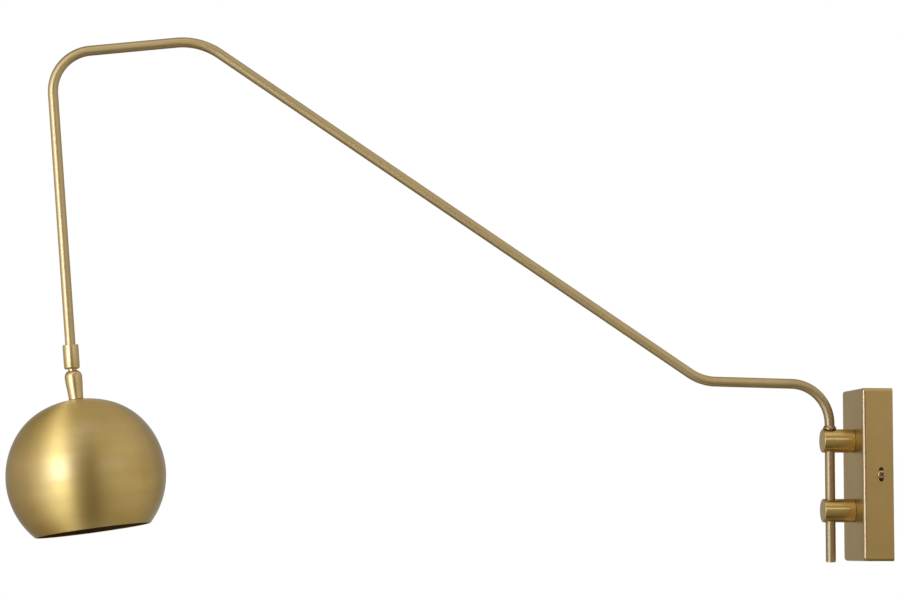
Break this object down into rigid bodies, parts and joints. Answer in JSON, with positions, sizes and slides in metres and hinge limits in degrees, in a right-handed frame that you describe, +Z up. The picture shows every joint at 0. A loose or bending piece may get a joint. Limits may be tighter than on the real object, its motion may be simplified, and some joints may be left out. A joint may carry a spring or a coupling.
{
  "type": "hanging pendant wall sconce",
  "caption": "Wall sconce with a long bent swing arm turning in bosses on a box canopy, with an open-bottomed ball shade hung from a ball swivel.",
  "frame": {"origin": "middle of the wall bracket's screw pattern, on the wall plane behind the canopy", "axes": "+X into the wall, so the arm reaches out along -X; +Z up; Y across the canopy"},
  "size_m": [0.8744, 0.1547, 0.5168],
  "materials": {
    "satin_brass": "finely brushed satin brass under clear lacquer",
    "plain_brass": "plain turned brass",
    "screw_brass": "brass-plated screw heads with dark recesses",
    "zinc_steel": "bright zinc-plated steel",
    "dark_steel": "steel plate in thin dark brown stoved paint",
    "nickel": "thin nickel-plated sheet",
    "green_screw": "green earth screw",
    "white_plastic": "off-white moulded plastic",
    "black_plastic": "black moulded plastic",
    "white_ceramic": "unglazed white ceramic",
    "lead_cover": "insulated lead",
    "frosted_glass": "frosted glass"
  },
  "bodies": {
    "wall_side": {"canopy_cover": "satin_brass", "wall_bracket": "dark_steel", "canopy_side_screws": "screw_brass", "ground_screw": "green_screw", "terminal_block": "white_plastic", "terminal_screws": "zinc_steel", "arm_boss_upper": "satin_brass", "arm_boss_lower": "satin_brass", "boss_nipples": "zinc_steel", "boss_washers": "zinc_steel", "boss_nuts": "plain_brass", "canopy_lead": "lead_cover"},
    "arm": {"arm_tube": "satin_brass", "stop_collar": "satin_brass", "rod_end_plug": "satin_brass", "swivel_barrel": "satin_brass", "swivel_ring": "satin_brass", "arm_lead": "lead_cover"},
    "swivel": {"swivel_seat": "black_plastic"},
    "shade": {"swivel_ball": "satin_brass", "shade_neck": "satin_brass", "shade_shell": "satin_brass", "shade_nipple": "zinc_steel", "shade_washer": "zinc_steel", "shade_nut": "plain_brass", "holder_cap": "black_plastic", "holder_body": "black_plastic", "holder_base": "white_ceramic", "screw_shell": "nickel", "centre_contact": "plain_brass", "bulb_cap": "nickel", "bulb_glass": "frosted_glass", "shade_lead": "lead_cover"}
  },
  "joints": [
    {"name": "arm_swing", "type": "hinge", "parent": "wall_side", "child": "arm", "pos_m": [-0.0547, 0, 0], "axis": [0, 0, 1], "range_deg": [-75, 75]},
    {"name": "shade_turn", "type": "hinge", "parent": "arm", "child": "swivel", "pos_m": [-0.81167, 0, 0.10534], "axis": [0.0785, 0, -0.9969], "range_deg": [-160, 160]},
    {"name": "shade_tilt", "type": "hinge", "parent": "swivel", "child": "shade", "pos_m": [-0.81167, 0, 0.10534], "axis": [-0.5788, -0.8142, -0.0455], "range_deg": [-20, 12]}
  ]
}
